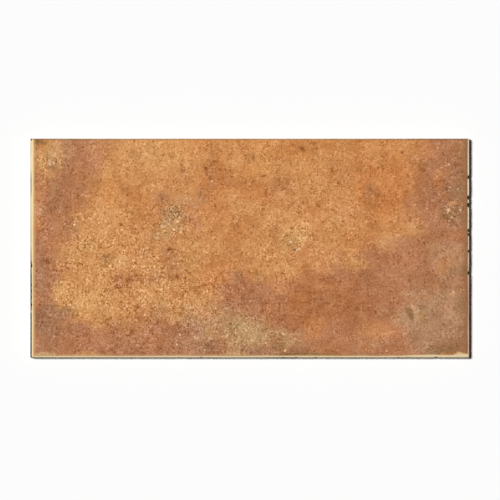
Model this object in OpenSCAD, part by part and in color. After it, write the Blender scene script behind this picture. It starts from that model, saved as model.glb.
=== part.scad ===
// Rustic ceramic trim tile: a flat pressed oblong with a softened face edge,
// a stepped die wall and square mortar keys across its back.
// The origin is the middle of the bedding face. X runs along the length, Y across
// the width, and Z up from the back to the face.

/* [Tile] */
// Length, from one end joint face to the other
tile_l = 300; // [200:1:400]
// Width, from one long joint face to the other
tile_w = 150; // [100:1:200]
// Thickness, from the bedding face to the face
tile_t = 9.5; // [7.5:0.1:14]
// Radius of the four upright corners
corner_r = 1.2; // [0.6:0.1:2]

/* [Face edge] */
// Width of the eased band, where the face rolls down towards the joint
ease_w = 4; // [3:0.1:6]
// Radius of the eased band
ease_r = 20; // [12:0.5:40]
// Radius of the arris between the eased band and the wall
arris_r = 1.2; // [0.6:0.1:2]

/* [Wall] */
// Height of the parting line, where the two halves of the die met
parting_h = 3.2; // [2.6:0.1:4]
// How far the wall steps in below the parting line
die_step = 0.25; // [0.1:0.05:0.5]
// How far the lower wall draws in on its way to the back, so that the tile leaves the die
draft_in = 0.35; // [0.1:0.05:0.8]
// Bevel round the back, where bedding mortar squeezes out
back_bevel = 1; // [0.5:0.1:1.5]

/* [Back keys] */
// Plain border left round the keys
key_border = 8; // [5:0.5:15]
// Distance aimed at between the centres of two keys
key_pitch = 17.5; // [12:0.5:25]
// Width of the rib left between two keys
rib_w = 3; // [2:0.1:5]
// Depth of a key
key_depth = 0.9; // [0.5:0.1:1.5]
// Slope of a key's walls from upright, in degrees
key_draft = 30; // [10:1:45]
// How far the rounding cuts in from each corner of a key, along its diagonal
key_corner = 1.6; // [0.5:0.1:3]

/* [Hidden] */
$fn = 64;
// How far a cutting shape runs past what it cuts
past = 1;

// The arris is a small circle inside the eased band's large one. They touch where the
// band turns into the arris, so their centres lie ease_r - arris_r apart.
arris_drop = ease_r - sqrt(pow(ease_r - arris_r, 2) - pow(ease_w - arris_r, 2));

// An even count each way puts the crossing of two ribs on the tile's centre
function key_count(run) = 2 * round((run - 2 * key_border + rib_w) / key_pitch / 2);
function key_step(run) = (run - 2 * key_border + rib_w) / key_count(run);
function key_places(run) =
    [for (i = [1:key_count(run)]) (i - (key_count(run) + 1) / 2) * key_step(run)];
key_slope = tan(key_draft);

// The edge between level face and upright wall: two arcs that meet without a crease
module rounded_edge(half) {
    band = [half - ease_w, tile_t - ease_r];
    arris = [half - arris_r, tile_t - arris_drop];
    outward = (arris - band) / (ease_r - arris_r);
    beyond = band + outward * (ease_r + past);
    intersection() {
        translate(band) circle(ease_r);
        polygon([[band.x, arris.y], arris, beyond, [band.x, tile_t + past]]);
    }
    intersection() {
        translate(arris) circle(arris_r);
        polygon([arris, [half + past, arris.y], [half + past, tile_t + past], beyond]);
    }
}

// Half of the tile's section, from its centre line to one wall
module half_section(half) {
    foot = half - die_step - draft_in;
    arris_z = tile_t - arris_drop;
    polygon([
        [0, 0],
        [foot - back_bevel, 0],
        [foot, back_bevel],
        [half - die_step, parting_h],
        [half, parting_h],
        [half, arris_z],
        [half - ease_w, arris_z],
        [half - ease_w, tile_t],
        [0, tile_t]
    ]);
    rounded_edge(half);
}

module section(run) {
    for (side = [0, 1])
        mirror([side, 0])
            half_section(run / 2);
}

// The tile seen from above
module plan() {
    for (x = [-1, 1], y = [-1, 1])
        translate([x * (tile_l / 2 - corner_r), y * (tile_w / 2 - corner_r)])
            circle(corner_r);
    square([tile_l - 2 * corner_r, tile_w], center = true);
    square([tile_l, tile_w - 2 * corner_r], center = true);
}

// The pressed blank: both sections run through each other and mitre at the corners
module blank() {
    intersection() {
        rotate([90, 0, 0])
            translate([0, 0, -tile_w / 2 - past])
                linear_extrude(tile_w + 2 * past)
                    section(tile_l);
        rotate([90, 0, 90])
            translate([0, 0, -tile_l / 2 - past])
                linear_extrude(tile_l + 2 * past)
                    section(tile_w);
        translate([0, 0, -past])
            linear_extrude(tile_t + 2 * past)
                plan();
    }
}

// A groove along X whose walls lean, open at the back
module groove(mouth, run) {
    rotate([90, 0, 90])
        translate([0, 0, -run / 2])
            linear_extrude(run)
                polygon([
                    [-mouth / 2 - past * key_slope, -past],
                    [mouth / 2 + past * key_slope, -past],
                    [mouth / 2 - key_depth * key_slope, key_depth],
                    [-mouth / 2 + key_depth * key_slope, key_depth]
                ]);
}

// One key: where two grooves cross, with its corners turned round by a cone
module key(mouth_l, mouth_w) {
    turned = norm([mouth_l, mouth_w]) / 2 - key_corner;
    intersection() {
        groove(mouth_w, mouth_l + 2 * past);
        rotate(90)
            groove(mouth_l, mouth_w + 2 * past);
        translate([0, 0, -past])
            cylinder(h = 2 * past + key_depth,
                     r1 = turned + past * key_slope,
                     r2 = turned - (past + key_depth) * key_slope);
    }
}

module tile() {
    color("peru")
        difference() {
            blank();
            for (x = key_places(tile_l), y = key_places(tile_w))
                translate([x, y, 0])
                    key(key_step(tile_l) - rib_w, key_step(tile_w) - rib_w);
        }
}

tile();
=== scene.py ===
"""The finish of a rustic ceramic trim tile: its worn relief, its mottled glaze and its keyed back."""
import math
from typing import NamedTuple

import bmesh
import bpy
from bpy.props import FloatProperty, FloatVectorProperty, PointerProperty
from bpy.types import Operator, Panel, PropertyGroup
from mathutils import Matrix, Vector


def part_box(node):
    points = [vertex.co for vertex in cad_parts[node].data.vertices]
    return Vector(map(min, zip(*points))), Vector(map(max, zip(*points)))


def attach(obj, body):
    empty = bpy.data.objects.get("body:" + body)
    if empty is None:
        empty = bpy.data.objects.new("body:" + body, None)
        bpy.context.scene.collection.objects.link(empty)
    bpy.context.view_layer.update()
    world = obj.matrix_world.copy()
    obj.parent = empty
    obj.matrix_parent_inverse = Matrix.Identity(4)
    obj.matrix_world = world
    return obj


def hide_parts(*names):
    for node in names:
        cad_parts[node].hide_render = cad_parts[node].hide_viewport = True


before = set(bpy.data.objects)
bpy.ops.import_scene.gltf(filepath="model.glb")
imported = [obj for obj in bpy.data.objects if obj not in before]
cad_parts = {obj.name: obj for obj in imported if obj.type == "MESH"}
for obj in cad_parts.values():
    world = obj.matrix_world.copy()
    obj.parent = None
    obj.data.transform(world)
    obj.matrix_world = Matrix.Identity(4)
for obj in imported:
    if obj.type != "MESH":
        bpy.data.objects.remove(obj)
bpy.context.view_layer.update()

bl_info = {
    "name": "Rustic Trim Tile",
    "version": (1, 0, 0),
    "blender": (4, 5, 0),
    "location": "3D View > Sidebar > Tile",
    "description": "Makes the worn, mottled visual model of a pressed ceramic trim tile",
    "category": "Object",
}

MM = 0.001
PERCENT = 0.01
LOW, HIGH = (Vector(corner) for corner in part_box("tile"))
LENGTH, WIDTH, THICKNESS = HIGH - LOW
PARTING = 3.2 * MM  # height of the die's parting line


def srgb(red, green, blue):
    """A colour as a paint chart gives it, 0 to 255, as the linear numbers that shaders take."""
    def linear(level):
        level /= 255
        return level / 12.92 if level <= 0.04045 else ((level + 0.055) / 1.055) ** 2.4
    return linear(red), linear(green), linear(blue)


# ------------------------------------------------------------------ sizes and colours to set

def length_of(label, description, default):
    return FloatProperty(name=label, description=description, default=default, unit="LENGTH")


def angle_of(label, description, degrees):
    return FloatProperty(name=label, description=description, default=math.radians(degrees),
                         subtype="ANGLE")


def colour_of(label, description, default):
    return FloatVectorProperty(name=label, description=description, default=default,
                               subtype="COLOR", size=3, min=0, max=1)


def amount_of(label, description, default):
    return FloatProperty(name=label, description=description, default=default,
                         subtype="FACTOR", min=0, max=1)


class TileSection(PropertyGroup):
    """The section of the edge and the keys of the back, as the die presses them"""
    ease_width: length_of("Eased band", "Width of the band where the face rolls down", 4 * MM)
    ease_radius: length_of("Band radius", "Radius of the eased band", 20 * MM)
    arris_radius: length_of("Arris radius", "Radius between the band and the wall", 1.2 * MM)
    corner_radius: length_of("Corner radius", "Radius of the upright corners", 1.2 * MM)
    parting_height: length_of("Parting line", "Height of the parting line", PARTING)
    die_step: length_of("Die step", "Step of the wall below the parting line", 0.25 * MM)
    draft: length_of("Draft", "How far the lower wall draws in", 0.35 * MM)
    back_bevel: length_of("Back bevel", "Bevel round the back", 1 * MM)
    key_border: length_of("Key border", "Plain border round the keys", 8 * MM)
    key_pitch: length_of("Key pitch", "Distance aimed at between keys", 17.5 * MM)
    rib_width: length_of("Rib width", "Width of the ribs between keys", 3 * MM)
    key_depth: length_of("Key depth", "Depth of the keys", 0.9 * MM)
    key_draft: angle_of("Key draft", "Slope of the key walls from upright", 30)
    key_corner: length_of("Key corner", "Rounding of a key's corners, along its diagonal", 1.6 * MM)
    weld: length_of("Weld", "Ribs of neighbouring keys that are this close are joined", 0.01 * MM)
    mesh_step: length_of("Mesh step", "Distance between the mesh lines of the face", 0.92 * MM)


class TileWear(PropertyGroup):
    """How far pressing, firing and wear leave the tile short of the die's shape"""
    heave: length_of("Heave", "How far the face heaves in broad waves", 0.25 * MM)
    dapple: length_of("Dapple", "Depth of the small dapples in the face", 0.12 * MM)
    nibble: length_of("Nibble", "Depth of the nibbled places along the arris", 0.35 * MM)
    grit: length_of("Grit", "Roughness of the bare walls and back", 0.06 * MM)
    crease: angle_of("Crease", "Edges that turn by more than this stay crisp", 32)


class GlazeLook(PropertyGroup):
    """The glaze, the body under it, what has settled on both, and the colours that paint shade and
    highlight along the edges
    """
    amber: colour_of("Amber", "The glaze where it is even", srgb(205, 141, 82))
    golden: colour_of("Golden", "Thin, well fired glaze", srgb(213, 153, 91))
    orange: colour_of("Orange", "Strong orange glaze", srgb(197, 125, 67))
    rust: colour_of("Rust", "Iron-red glaze", srgb(173, 108, 61))
    clay: colour_of("Clay", "Dull red-brown glaze along the edges", srgb(177, 117, 77))
    umber: colour_of("Umber", "Dark, smoky glaze", srgb(158, 111, 76))
    drab: colour_of("Drab", "Greyish buff glaze", srgb(180, 136, 99))
    olive: colour_of("Olive", "Greenish beige where the glaze is thin", srgb(189, 147, 98))
    salmon: colour_of("Salmon", "Pinkish orange glaze", srgb(210, 141, 88))
    tawny: colour_of("Tawny", "Bright tawny glaze", srgb(218, 147, 79))
    sand: colour_of("Sand", "Pale grains in the glaze", srgb(241, 197, 131))
    bone: colour_of("Bone", "The bare body along the left edge", srgb(245, 215, 165))
    pearl: colour_of("Pearl", "White flecks where the glaze has crawled", srgb(255, 210, 160))
    cream: colour_of("Cream", "The fired body, where the glaze has worn through", srgb(240, 222, 182))
    biscuit: colour_of("Biscuit", "Darker clouds in the bare body", srgb(222, 200, 160))
    honey: colour_of("Honey", "Thin glaze just inside the worn arris", srgb(206, 163, 112))
    # A dark colour: dirt along the left rim and the seam, and painted shade along the right and near
    # rim and in the hollows of the keys
    grime_and_shade: colour_of("Grime", "Dirt along the arris and in the keys", srgb(50, 41, 27))
    # Near black in the chips: dirt in the chips on the left, and painted shadow in the notches on the
    # right, which lie in shade
    chip_dirt_and_shadow: colour_of("Soot", "What has packed the chips of the arris", srgb(27, 21, 14))
    flush: colour_of("Flush", "The bare arris where the fire has flashed it", srgb(226, 178, 158))
    blush: colour_of("Blush", "The body where the fire has flashed it pink", srgb(222, 178, 136))
    # A near white: dust on the ribs of the back, and the worn right arris, painted this bright there as
    # a highlight where that edge turns from the lamp
    chalk_and_highlight: colour_of("Chalk", "The paler body along one edge", srgb(250, 236, 216))
    # A smoky brown in the mottling; along the right edge it is laid as a band of painted shade, where
    # that edge turns from the lamp
    smoke: colour_of("Smoke", "Brown shade along one edge", srgb(146, 102, 64))
    bister: colour_of("Bister", "Warm brown in pits and small marks", srgb(150, 88, 36))
    moss: colour_of("Moss", "Dark olive stains", srgb(129, 97, 50))
    clouding: amount_of("Clouding", "Strength of the light and dark clouds", 0.46)
    tinting: amount_of("Tinting", "Strength of the olive and salmon clouds", 0.28)
    speckling: amount_of("Speckling", "Strength of the dark specks", 0.80)
    flecking: amount_of("Flecking", "Strength of the white flecks", 0.62)
    pit_shade: amount_of("Pit shade", "How dark the pits are", 0.50)
    run_down: amount_of("Run-down", "Strength of the glaze that has run down the wall", 0.75)
    # How strongly the chips are painted near black: dirt on the left, painted shadow on the right
    darkened: amount_of("Packed chips", "How much of a chip what has packed it hides", 0.95)
    flashed: amount_of("Flashed", "Strength of the pink clouds in the bare body", 0.85)
    dusted: amount_of("Dusted", "Strength of the dust on the ribs of the back", 0.45)
    # Dirt and painted shade in the hollows of the keys
    key_dirt_and_shade: amount_of("Dirty keys", "Strength of the dirt in the keys", 0.30)
    seam_dirt: amount_of("Dirty seam", "Strength of the dirt along the parting line", 0.40)
    body_grain: amount_of("Body grain", "Strength of the grain of the bare body", 0.55)
    iron: amount_of("Iron", "Strength of the iron specks in the bare body", 0.80)
    roughness: amount_of("Roughness", "Roughness of the bare body", 0.88)
    gloss: amount_of("Gloss", "How much smoother the glaze is", 0.18)
    grain_height: length_of("Grain height", "Height of the grain that only the light shows", 0.10 * MM)


class StudioLook(PropertyGroup):
    """The camera and the lamps"""
    lens: FloatProperty(name="Lens", description="Focal length in millimetres", default=400)
    margin: amount_of("Margin", "Part of the picture's width left free at the two ends", 0.1213)
    rise: length_of("Rise", "How far above the middle of the picture the tile lies", 1.13 * MM)
    aside: length_of("Aside", "How far left of the middle of the picture it lies", 0.08 * MM)
    fill: amount_of("Fill", "Part of the light that comes from all round", 0.015)
    sun_from: FloatVectorProperty(name="Sun direction", description="Where the main lamp stands",
                                  default=(-0.265, 0.10, 1.0), subtype="DIRECTION")
    sun_size: angle_of("Sun size", "How wide the main lamp looks", 10)
    floor_size: length_of("Floor size", "Length of the floor's sides", 6)
    floor: colour_of("Floor", "The pale floor as the camera sees it", srgb(252, 252, 252))
    floor_glow: colour_of("Floor glow", "The floor as it lights the tile", srgb(156, 156, 156))


# ------------------------------------------------------------------ formulas in node trees

class Wire:
    """A value in a node tree. A sum written with it becomes the nodes that work it out."""

    def __init__(self, tree, socket):
        self.tree, self.socket = tree, socket

    def other(self, name):
        """Another output of the same node."""
        return Wire(self.tree, self.socket.node.outputs[name])

    def part(self, name):
        """The X, Y or Z of a vector."""
        return put(self.tree, "ShaderNodeSeparateXYZ", {"Vector": self}, out=name)

    def __add__(self, value):
        return calc("ADD", self, value)

    def __radd__(self, value):
        return calc("ADD", value, self)

    def __sub__(self, value):
        return calc("SUBTRACT", self, value)

    def __rsub__(self, value):
        return calc("SUBTRACT", value, self)

    def __mul__(self, value):
        return calc("MULTIPLY", self, value)

    def __truediv__(self, value):
        return calc("DIVIDE", self, value)


def feed(tree, socket, value):
    """Links a wire to a socket, or sets the socket to a value. The alpha of a colour is always 1."""
    if isinstance(value, Wire):
        tree.links.new(value.socket, socket)
    elif value is not None:
        socket.default_value = (*value[:3], 1.0) if socket.type == "RGBA" else value


def put(tree, kind, inputs=None, out=0, **settings):
    """Adds a node, sets it, feeds the inputs named and gives back one of its outputs."""
    node = tree.nodes.new(kind)
    for name, value in settings.items():
        setattr(node, name, value)
    for name, value in (inputs or {}).items():
        feed(tree, next(s for s in node.inputs if s.identifier == name), value)
    return Wire(tree, node.outputs[out])


def tree_of(values):
    return next(value.tree for value in values if isinstance(value, Wire))


def calc(operation, *values):
    tree = tree_of(values)
    node = tree.nodes.new("ShaderNodeMath")
    node.operation = operation
    for socket, value in zip(node.inputs, values):
        feed(tree, socket, value)
    return Wire(tree, node.outputs[0])


def vector_calc(operation, *values, scale=None, out="Vector"):
    tree = tree_of(values)
    node = tree.nodes.new("ShaderNodeVectorMath")
    node.operation = operation
    for socket, value in zip(node.inputs, values):
        feed(tree, socket, value)
    if scale is not None:
        feed(tree, node.inputs["Scale"], scale)
    return Wire(tree, node.outputs[out])


def xyz(x, y, z):
    return put(tree_of((x, y, z)), "ShaderNodeCombineXYZ", {"X": x, "Y": y, "Z": z})


def highest(first, *others):
    for value in others:
        first = calc("MAXIMUM", first, value)
    return first


def sum_of(values):
    total = 0.0
    for value in values:
        total = value + total
    return total


def lowest(first, *others):
    for value in others:
        first = calc("MINIMUM", first, value)
    return first


def smooth(value, start, end):
    """Rises softly from 0 at start to 1 at end. The start may lie above the end."""
    return put(value.tree, "ShaderNodeMapRange",
               {"Value": value, "From Min": start, "From Max": end},
               interpolation_type="SMOOTHSTEP", clamp=False)  # a soft step stays within 0 and 1 anyway


def ramp(value, start, end):
    """Rises evenly from 0 at start to 1 at end. The start may lie above the end."""
    return put(value.tree, "ShaderNodeMapRange",
               {"Value": value, "From Min": start, "From Max": end})


def cloud(where, size, detail=2.0, rough=0.5, seed=0.0, out="Fac"):
    """Soft noise round 0.5 whose lumps are about that size."""
    return put(where.tree, "ShaderNodeTexNoise",
               {"Vector": where, "W": seed, "Scale": 1 / size, "Detail": detail, "Roughness": rough},
               out=out, noise_dimensions="4D")


def spots(where, size, rough, seed, start, end):
    """Soft-edged spots about that size, where a noise rises above the end."""
    return smooth(cloud(where, size, 4.0, rough, seed=seed), start, end)


def grains(where, size):
    """Grains strewn about: how far off the nearest is, in grain spacings, and a lot drawn for it."""
    cells = put(where.tree, "ShaderNodeTexVoronoi", {"Vector": where, "Scale": 1 / size},
                out="Distance")
    return cells, cells.other("Color").part("X")


def emptied(owner):
    """The node tree of a material or a world, with nothing in it yet."""
    owner.use_nodes = True
    owner.node_tree.nodes.clear()
    return owner.node_tree


def shown(tree, kind, surface):
    """Ends the tree of a material or a world."""
    feed(tree, tree.nodes.new(kind).inputs["Surface"], surface)


COLOUR_OUT = 2  # the colour output of a Mix node


def laid_over(under, over, amount, how="MIX"):
    """One colour laid over another."""
    tree = tree_of((under, over, amount))
    return put(tree, "ShaderNodeMix", {"Factor_Float": amount, "A_Color": under, "B_Color": over},
               out=COLOUR_OUT, data_type="RGBA", blend_type=how)


# ------------------------------------------------------------------ where things lie on the tile

def on_face(along, up):
    """A place on the face, as parts of its length from the left and of its width from the near side."""
    return Vector((LOW.x + along * LENGTH, LOW.y + up * WIDTH, 0))


def flattened(where):
    """The same place in plan."""
    return xyz(where.part("X"), where.part("Y"), 0.0)


class Side(NamedTuple):
    """One side of the face, what its edge has been through, and the shade and highlight painted along
    it where it turns from the lamp.
    """
    axis: str
    outward: int          # which way along the axis the side looks
    cream: float          # width of the worn-through arris
    bare_tone: str        # the tone of that arris; on the right it is partly a painted highlight
    darkening: float           # width of its dark outermost line: dirt on the left and far sides, painted shade on the right and near sides
    band_from: float      # where the band inside the arris begins to fade: a tone, and on the right painted shade
    band_to: float        # and where it ends
    band_tone: str
    band_strength: float


SIDES = (
    # left and right: the right side turns from the lamp, so its dark outermost line and its band are
    # painted shade, and its chalk arris is partly a painted highlight
    Side("X", -1, 2.1 * MM, "bone", 1.05 * MM, 2.4 * MM, 4.4 * MM, "honey", 0.75),
    Side("X", 1, 1.15 * MM, "chalk_and_highlight", 0.36 * MM, 1.5 * MM, 6.0 * MM, "smoke", 0.85),
    # near and far: the near side's dark outermost line is painted shade
    Side("Y", -1, 1.6 * MM, "biscuit", 0.50 * MM, 1.7 * MM, 3.4 * MM, "olive", 0.45),
    Side("Y", 1, 0.35 * MM, "cream", 0.45 * MM, 0.4 * MM, 1.6 * MM, "smoke", 0.5),
)


def inset_from(side, where):
    """How far inside that side's wall a place lies."""
    half = (LENGTH if side.axis == "X" else WIDTH) / 2
    return half - where.part(side.axis) * float(side.outward)


def marks_on(side, listed):
    """Those of the marks whose middle lies on that side's wall."""
    place = "along" if side.axis == "X" else "up"
    return [mark for mark in listed if getattr(mark, place) == max(side.outward, 0)]


class Mark(NamedTuple):
    """A mark that stands out on the face, or on the arris where it lies at the rim."""
    along: float
    up: float
    radius: float
    amount: float      # how deep or wide it is, or how strong


def marks(unit, rows):
    """Marks from rows of (along, up, radius, amount).

    The first two are in percent, the radius is in millimetres and the amount in that unit.
    """
    return [Mark(along * PERCENT, up * PERCENT, radius * MM, amount * unit)
            for along, up, radius, amount in rows]


PITS = marks(MM, [  # small hollows in the face
    (40, 86.4, 1.5, 0.3), (40.8, 81.6, 1.1, 0.2), (20.7, 60.7, 1, 0.22), (22.1, 35.2, 1.7, 0.22),
    (19.8, 32.2, 1.5, 0.2), (24.5, 23.3, 1.5, 0.35), (20.8, 25.7, 1.2, 0.25),
    (31.7, 49.7, 2.2, 0.2), (62, 95.2, 1.9, 0.25), (84.5, 93.6, 1.1, 0.2), (86.3, 21.5, 1.7, 0.3),
    (86.8, 19.8, 1.5, 0.3), (60.2, 49.2, 1.3, 0.25), (95.7, 66, 1.3, 0.25),
])

RIM_DIRT_AND_SHADE = marks(PERCENT, [  # where the outermost line of the arris is dark: dirt on the left and far sides, painted shade on the right and near sides
    (0, 18, 70, 100), (0, 79, 12, 50), (20, 0, 150, 70), (70, 0, 150, 70), (57, 0, 22, 100),
    (100, 25, 90, 80), (100, 16.4, 14, 100), (100, 75, 90, 80), (6, 100, 22, 50),
])

WIDER = marks(MM, [  # where the worn arris is wider than along the rest of its side, or narrower
    (95, 0, 50, 0.6), (98.4, 0, 9, 0.7), (58, 0, 40, 0.1), (0, 90, 45, 0.15), (100, 85, 50, 0.1),
    (100, 20, 40, -0.1),
])

FLUSHED = marks(PERCENT, [  # where the bare arris is pink
    (100, 10, 55, 85), (100, 38, 40, 55), (100, 96, 14, 45),
])

CHIPS = marks(MM, [  # what has broken out of the arris
    (100, 82.4, 1.9, 0.5), (100, 73.1, 2.1, 0.6), (100, 69.7, 2.2, 0.6), (100, 58.1, 1.8, 0.5),
    (100, 56.3, 1.7, 0.4), (100, 48.7, 1.5, 0.4), (100, 38.8, 1.8, 0.5), (0, 80.6, 0.9, 0.4),
    (0, 76.2, 0.8, 0.4), (0, 43.4, 1.5, 0.5), (0, 42.1, 2, 0.6), (0, 36.9, 1.4, 0.4),
    (0, 33.3, 1.6, 0.5), (0, 30.5, 1.6, 0.5), (0, 27.8, 1.5, 0.5), (0, 24.2, 1.8, 0.6),
    (0, 11, 1.2, 0.4), (14.5, 0, 0.9, 0.3), (39, 0, 1.1, 0.4), (57.7, 0, 1, 0.3),
    (60.5, 0, 1.1, 0.3), (65, 0, 1, 0.3), (83.8, 0, 1.1, 0.4), (86, 0, 1, 0.4), (92.4, 0, 1.3, 0.4),
    (0, 100, 2, 0.5),
])


CHIP_SINK = 0.5 * MM  # how far below the face the middle of a chip lies
PIT_CORE, CHIP_CORE, PLACE_CORE = 0.25, 0.4, 0.3  # the part of the radius where a mark is full
FRAY, FINE_FRAY = 3.6 * MM, 1.2 * MM  # how far ragged outlines stray


def near(where, middle, radius, core):
    """1 in the core round a middle, which is that part of the radius, and 0 from the radius on."""
    away = vector_calc("DISTANCE", where, tuple(middle), out="Value")
    return smooth(away, radius, radius * core)


def pit_shape(where, mark):
    """1 in the middle of a pit, 0 past its lip. The place is one in plan."""
    return near(where, on_face(mark.along, mark.up), mark.radius, PIT_CORE)


def drift(where, size, detail, rough, seed, reach):
    """How far a place drifts, smoothly from place to place: up to half the reach any way."""
    noise = cloud(where, size, detail, rough, seed=seed, out="Color")
    return vector_calc("SCALE", vector_calc("SUBTRACT", noise, (0.5,) * 3), scale=reach)


def frayed(where, reach=FRAY):
    """The place, drifting a little, so that what is drawn there gets a ragged outline."""
    return flattened(vector_calc("ADD", where, drift(where, 1.7 * MM, 2.0, 0.6, 14.0, reach)))


def chip_shape(where, mark):
    """The same for a chip out of the arris, as a ball with its middle a little below the face."""
    middle = on_face(mark.along, mark.up) + Vector((0, 0, THICKNESS - CHIP_SINK))
    return near(where, middle, mark.radius, CHIP_CORE)


def chips_at(where):
    """How deep the chips are at a place, in millimetres."""
    return highest(*(chip_shape(where, mark) * (mark.amount / MM) for mark in CHIPS))


# ------------------------------------------------------------------ the blank and its keys

BAND_STEPS, ARRIS_STEPS, WALL_STEPS, DRAFT_STEPS = 6, 9, 5, 2
RIM_STEP = BAND_STEPS + ARRIS_STEPS // 2  # where the lines of the face end and the wall's rows begin


def edge_section(sizes):
    """The section from the level face over the edge down to the back: (inset from the wall, height)."""
    band, arris = sizes.ease_radius, sizes.arris_radius
    run = sizes.ease_width - arris
    meet = math.asin(run / (band - arris))
    arris_height = THICKNESS - band + math.sqrt((band - arris) ** 2 - run ** 2)
    foot = sizes.die_step + sizes.draft
    points = []
    for step in range(BAND_STEPS):
        turn = meet * step / BAND_STEPS
        points.append((sizes.ease_width - band * math.sin(turn),
                       THICKNESS - band * (1 - math.cos(turn))))
    for step in range(ARRIS_STEPS + 1):
        turn = meet + (math.pi / 2 - meet) * step / ARRIS_STEPS
        points.append((arris * (1 - math.sin(turn)), arris_height + arris * math.cos(turn)))
    for step in range(1, WALL_STEPS + 1):
        points.append((0, arris_height + (sizes.parting_height - arris_height) * step / WALL_STEPS))
    for step in range(DRAFT_STEPS + 1):
        part = step / DRAFT_STEPS
        points.append((sizes.die_step + sizes.draft * part,
                       sizes.parting_height + (sizes.back_bevel - sizes.parting_height) * part))
    points.append((foot + sizes.back_bevel, 0))
    return points


def inputs_of(tree, **kinds):
    """Gives a tree inputs of those names and kinds, and gives back the wires that come from them."""
    for label, kind in kinds.items():
        tree.interface.new_socket(label, in_out="INPUT", socket_type="NodeSocket" + kind)
    enter = tree.nodes.new("NodeGroupInput")
    return {socket.name: Wire(tree, socket) for socket in enter.outputs if socket.name}


def geometry_tree(name, **kinds):
    """A geometry node tree with those inputs after the geometry, and the wires from them."""
    tree = bpy.data.node_groups.new(name, "GeometryNodeTree")
    tree.is_modifier = True
    tree.interface.new_socket("Geometry", in_out="OUTPUT", socket_type="NodeSocketGeometry")
    return tree, inputs_of(tree, Geometry="Geometry", **kinds)


def close_tree(geometry, material):
    """Ends a tree as every one here ends: instances made real, material set."""
    tree = geometry.tree
    real = put(tree, "GeometryNodeRealizeInstances", {"Geometry": geometry})
    done = put(tree, "GeometryNodeSetMaterial", {"Geometry": real, "Material": material})
    leave = tree.nodes.new("NodeGroupOutput")
    feed(tree, leave.inputs["Geometry"], done)


def object_of(name, mesh):
    made = bpy.data.objects.new(name, mesh)
    bpy.context.scene.collection.objects.link(made)
    return made


def discard(made):
    mesh = made.data
    bpy.data.objects.remove(made)
    bpy.data.meshes.remove(mesh)


def grown(tree, values, start=None):
    """The plain mesh that a geometry tree makes, out of a start mesh where it needs one."""
    carrier = object_of(tree.name, start or bpy.data.meshes.new(tree.name))
    modifier = carrier.modifiers.new(tree.name, "NODES")
    modifier.node_group = tree
    for socket in tree.interface.items_tree:
        if socket.in_out == "INPUT" and socket.name in values:
            modifier[socket.identifier] = values[socket.name]
    evaluated = carrier.evaluated_get(bpy.context.evaluated_depsgraph_get())
    mesh = bpy.data.meshes.new_from_object(evaluated)
    carrier.modifiers.remove(modifier)
    discard(carrier)
    return mesh


def blank_tree():
    """The pressed blank, open at the back: a box of mesh lines laid onto the tile's section."""
    tree, given = geometry_tree(
        "pressed_blank", Length="Float", Width="Float", Corner="Float", Lines_Along="Int",
        Lines_Across="Int", Rows="Int", Rim="Int", Section="Object", Material="Material")
    along, across, rows = given["Lines_Along"], given["Lines_Across"], given["Rows"]
    rim = given["Rim"]
    box = put(tree, "GeometryNodeMeshCube",
              {"Size": xyz(along - 1.0, across - 1.0, rows - 1.0),
               "Vertices X": along, "Vertices Y": across, "Vertices Z": rows})
    downward = put(tree, "FunctionNodeCompare",
                   {"A": put(tree, "GeometryNodeInputNormal").part("Z"), "B": -0.5},
                   operation="LESS_THAN")
    shell = put(tree, "GeometryNodeDeleteGeometry", {"Geometry": box, "Selection": downward},
                domain="FACE")

    line = put(tree, "GeometryNodeInputPosition")
    section = put(tree, "GeometryNodeObjectInfo", {"Object": given["Section"]}, out="Geometry")
    section_place = put(tree, "GeometryNodeInputPosition")

    def section_at(step):
        return put(tree, "GeometryNodeSampleIndex",
                   {"Geometry": section, "Value": section_place, "Index": step},
                   data_type="FLOAT_VECTOR", clamp=True)

    def out_to(axis, lines, size):
        """Lines of the face: even over the level part, then closer over each step of the edge."""
        here = line.part(axis)
        ends_in = (lines - 1.0) / 2.0 - calc("ABSOLUTE", here)
        level_lines = (lines - 1.0) / 2.0 - rim
        inset = section_at(rim - ends_in).part("X")
        spread = lowest(calc("ABSOLUTE", here) / level_lines, 1.0)
        return calc("SIGN", here), (size / 2.0 - inset) * spread, ends_in

    side_x, out_x, ends_in_x = out_to("X", along, given["Length"])
    side_y, out_y, ends_in_y = out_to("Y", across, given["Width"])

    # square rings of lines turn into quarter circles inside the corner radius
    over_x = highest(out_x - (given["Length"] / 2.0 - given["Corner"]), 0.0)
    over_y = highest(out_y - (given["Width"] / 2.0 - given["Corner"]), 0.0)
    reach = highest(calc("SQRT", over_x * over_x + over_y * over_y), 1e-9)
    pull = highest(over_x, over_y) / reach - 1.0
    round_x = out_x + over_x * pull
    round_y = out_y + over_y * pull

    # each row of the wall is the rim's outline drawn in or let out to the section
    down = (rows - 1.0) / 2.0 - line.part("Z")
    row_inset = section_at(rim + down).part("X")
    rim_inset = section_at(rim).part("X")
    wall_x = (given["Length"] / 2.0 - row_inset) / (given["Length"] / 2.0 - rim_inset)
    wall_y = (given["Width"] / 2.0 - row_inset) / (given["Width"] / 2.0 - rim_inset)
    height = section_at(rim - lowest(ends_in_x, ends_in_y) + down).part("Z")
    place = xyz(side_x * round_x * wall_x, side_y * round_y * wall_y, height)
    close_tree(put(tree, "GeometryNodeSetPosition", {"Geometry": shell, "Position": place}),
               given["Material"])
    return tree


def key_counts(sizes):
    """Even counts, so that two ribs cross on the tile's centre."""
    def along(run):
        return 2 * round((run - 2 * sizes.key_border + sizes.rib_width) / sizes.key_pitch / 2)
    return along(LENGTH), along(WIDTH)


def key_steps(sizes):
    counts = key_counts(sizes)
    return [(run - 2 * sizes.key_border + sizes.rib_width) / count
            for run, count in zip((LENGTH, WIDTH), counts)]


KEY_CORNER_STEPS = 4


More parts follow.
